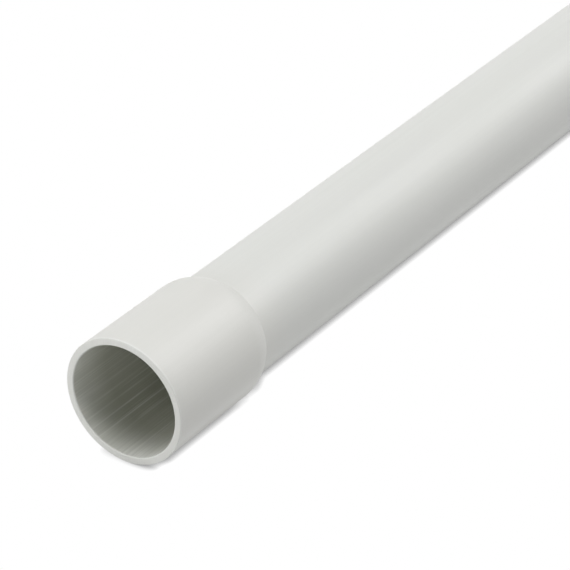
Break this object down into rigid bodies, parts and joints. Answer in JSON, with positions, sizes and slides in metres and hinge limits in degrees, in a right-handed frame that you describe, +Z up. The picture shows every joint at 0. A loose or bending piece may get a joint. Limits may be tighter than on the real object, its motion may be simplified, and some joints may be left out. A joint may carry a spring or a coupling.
{
  "type": "pvc conduit pipe",
  "caption": "Straight length of light grey rigid PVC electrical conduit with a formed socket on one end and a plain, square-cut other end.",
  "frame": {"origin": "halfway along the pipe, at the floor, straight below its centre line; the centre line is 14.2 mm up", "axes": "+X along the pipe, from the socket's mouth to the plain end, +Z up as it lies on a floor"},
  "size_m": [2, 0.0284, 0.0284],
  "materials": {
    "grey_pvc": "extruded, satin"
  },
  "bodies": {
    "root": {"conduit_pipe": "grey_pvc"}
  },
  "joints": []
}
